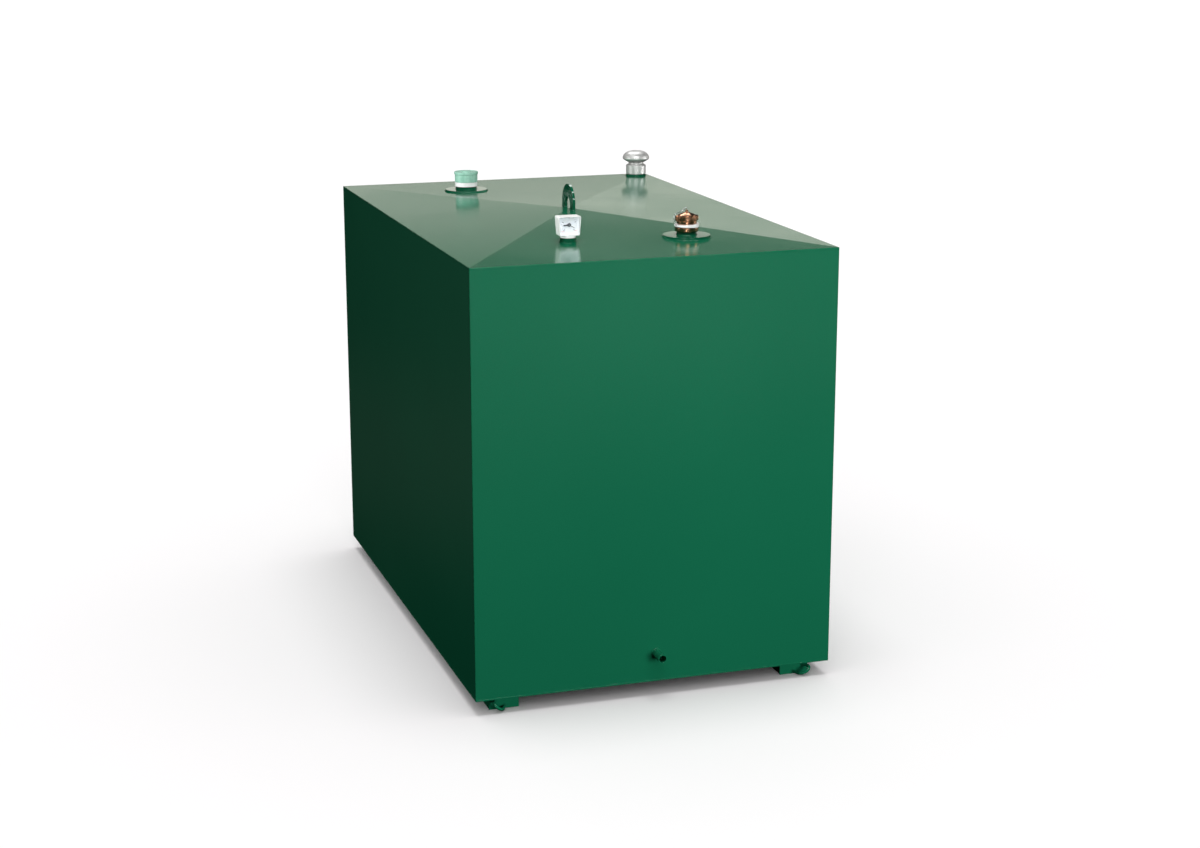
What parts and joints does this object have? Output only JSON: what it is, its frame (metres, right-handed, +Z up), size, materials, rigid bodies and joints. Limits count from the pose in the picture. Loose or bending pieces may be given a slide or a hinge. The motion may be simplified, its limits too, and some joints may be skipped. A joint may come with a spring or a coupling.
{
  "type": "rectangular steel fuel storage tank",
  "caption": "Rectangular welded steel fuel tank with a shallow pyramid roof, float gauge, screwed fill cap, mushroom vent, inspection cap, lifting eye and low outlet, on skids.",
  "frame": {"origin": "centre of the bounding box at ground level, under the skids", "axes": "+Z up, +Y from the front with the gauge and outlet towards the back, +X to the right seen from the front"},
  "size_m": [1.09, 1.742, 1.3895],
  "materials": {
    "green_paint": "semi-gloss green powder coat on steel",
    "bronze": "brown bronze, satin, brighter on the lands",
    "cast_aluminium": "turned cast aluminium, satin",
    "bright_steel": "bright plated steel",
    "white_plastic": "white moulded plastic",
    "mint_plastic": "pale green moulded plastic",
    "black_plastic": "matt black plastic",
    "dial_paint": "pale printed dial sheet",
    "clear_plastic": "clear moulded window"
  },
  "bodies": {
    "tank": {"front_plate": "green_paint", "back_plate": "green_paint", "left_side_plate": "green_paint", "right_side_plate": "green_paint", "bottom_plate": "green_paint", "roof_plate": "green_paint", "lifting_eye": "green_paint", "outlet_pipe": "green_paint", "outlet_weld": "green_paint", "left_skid": "green_paint", "right_skid": "green_paint", "left_skid_front_cap": "green_paint", "left_skid_rear_cap": "green_paint", "right_skid_front_cap": "green_paint", "right_skid_rear_cap": "green_paint", "left_front_tie_down_loop": "green_paint", "left_rear_tie_down_loop": "green_paint", "right_front_tie_down_loop": "green_paint", "right_rear_tie_down_loop": "green_paint", "gauge_socket": "green_paint", "gauge_collar": "white_plastic", "gauge_housing": "white_plastic", "gauge_window": "clear_plastic", "gauge_dial": "dial_paint", "gauge_spindle": "bright_steel", "fill_flange": "green_paint", "fill_neck": "green_paint", "fill_adaptor": "bronze", "fill_band": "white_plastic", "fill_chain": "bright_steel", "vent_socket": "green_paint", "vent_body": "cast_aluminium", "vent_hood": "cast_aluminium", "inspection_flange": "green_paint", "inspection_socket": "green_paint", "inspection_ring": "white_plastic"},
    "pointer": {"gauge_pointer": "black_plastic"},
    "screw_cap": {"fill_cap": "bronze"},
    "dip_cap": {"inspection_cap": "mint_plastic"}
  },
  "joints": [
    {"name": "pointer_turn", "type": "hinge", "parent": "tank", "child": "pointer", "pos_m": [-0.1755, -0.5406, 1.3531], "axis": [0, 1, 0], "range_deg": [-41, 229]},
    {"name": "fill_cap_turn", "type": "hinge", "parent": "tank", "child": "screw_cap", "pos_m": [0.1847, -0.5372, 1.345], "axis": [0, 0, 1], "range_deg": [0, 1170]},
    {"name": "inspection_cap_turn", "type": "hinge", "parent": "tank", "child": "dip_cap", "pos_m": [-0.184, 0.588, 1.345], "axis": [0, 0, 1], "range_deg": [0, 810]}
  ]
}
